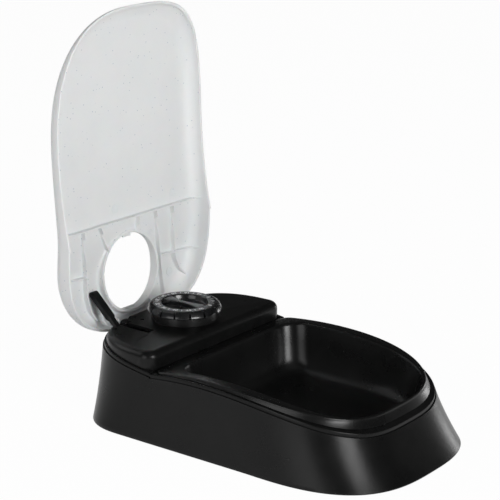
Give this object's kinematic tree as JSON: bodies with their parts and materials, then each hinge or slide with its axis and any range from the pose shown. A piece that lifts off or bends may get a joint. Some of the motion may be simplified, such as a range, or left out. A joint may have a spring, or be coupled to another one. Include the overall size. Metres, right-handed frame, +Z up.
{
  "type": "automatic pet feeder",
  "caption": "Single-meal pet feeder: flared base with a lift-out bowl, a dial timer on a spindle, and a hinged lid that a sprung arm lifts when the dial reaches zero.",
  "frame": {"origin": "middle of the footprint on the floor, under the rubber feet", "axes": "+X to the right seen from the bowl's side, -Y towards the bowl's front, +Y towards the hinge, +Z up; the lid stands open"},
  "size_m": [0.1596, 0.2581, 0.269],
  "materials": {
    "black_shell": "satin black moulding with a fine grain",
    "black_floor": "plain black moulding",
    "rubber_foot": "soft black rubber",
    "black_bowl": "satin black moulding",
    "gloss_black": "polished black with white figures",
    "nylon": "natural nylon",
    "grey_case": "light grey moulding",
    "steel": "zinc-plated steel",
    "rotor_magnet": "dark magnet",
    "copper_wire": "bare copper-coloured wire",
    "board": "green circuit board",
    "cell_jacket": "plain cell jacket",
    "arm_black": "satin black moulding",
    "speckled_grey": "pale grey plastic with sparse dark speckle"
  },
  "bodies": {
    "base": {"base_shell": "black_shell", "bottom_plate": "black_floor", "rubber_feet": "rubber_foot", "base_screws": "steel", "timer_cover": "black_shell", "cover_screws": "steel", "timer_case_upper": "grey_case", "timer_case_lower": "grey_case", "timer_screws": "steel", "idler_pin": "steel", "motor_stator": "steel", "motor_coil": "copper_wire", "circuit_board": "board", "battery_cell": "cell_jacket", "battery_spring": "steel", "battery_contact": "steel", "arm_bracket": "black_floor", "arm_pin": "steel", "arm_spring": "copper_wire", "hinge_pins": "steel"},
    "dial": {"dial_knob": "gloss_black", "dial_spindle": "nylon", "clutch_washer": "steel"},
    "drive_wheel": {"drive_gear": "nylon"},
    "idler": {"idler_gear": "nylon"},
    "rotor": {"motor_rotor": "rotor_magnet"},
    "lid": {"lid": "speckled_grey"},
    "lift_arm": {"lift_arm": "arm_black"},
    "bowl": {"bowl": "black_bowl"},
    "battery_door": {"battery_door": "black_floor"}
  },
  "joints": [
    {"name": "lid_hinge", "type": "hinge", "parent": "base", "child": "lid", "pos_m": [0, 0.1155, 0.0485], "axis": [-1, 0, 0], "range_deg": [-94.5, 0], "stiffness_Nm_per_rad": 0.08, "springref_deg": 11.46},
    {"name": "arm_lift", "type": "hinge", "parent": "base", "child": "lift_arm", "pos_m": [-0.037, 0.108, 0.0526], "axis": [-1, 0, 0], "range_deg": [-122, 0]},
    {"name": "dial_turn", "type": "hinge", "parent": "base", "child": "dial", "pos_m": [0, 0.0815, 0.0694], "axis": [0, 0, 1], "range_deg": [0, 330]},
    {"name": "drive_wheel_turn", "type": "hinge", "parent": "base", "child": "drive_wheel", "pos_m": [0, 0.0815, 0.04], "axis": [0, 0, 1], "range_deg": [0, 330]},
    {"name": "idler_turn", "type": "hinge", "parent": "base", "child": "idler", "pos_m": [0.024, 0.0815, 0.04], "axis": [0, 0, 1], "range_deg": [-1320, 0]},
    {"name": "rotor_turn", "type": "hinge", "parent": "base", "child": "rotor", "pos_m": [0.0432, 0.0815, 0.04], "axis": [0, 0, 1], "range_deg": [0, 3960]},
    {"name": "bowl_lift", "type": "slide", "parent": "base", "child": "bowl", "axis": [0, 0, 1], "range_m": [0, 0.06]},
    {"name": "battery_door_slide", "type": "slide", "parent": "base", "child": "battery_door", "axis": [0, 1, 0], "range_m": [0, 0.0155]}
  ],
  "couplings": [
    {"joint": "arm_lift", "follows": "lid_hinge", "ratio": 1.29},
    {"joint": "idler_turn", "follows": "drive_wheel_turn", "ratio": -4},
    {"joint": "rotor_turn", "follows": "drive_wheel_turn", "ratio": 12}
  ]
}
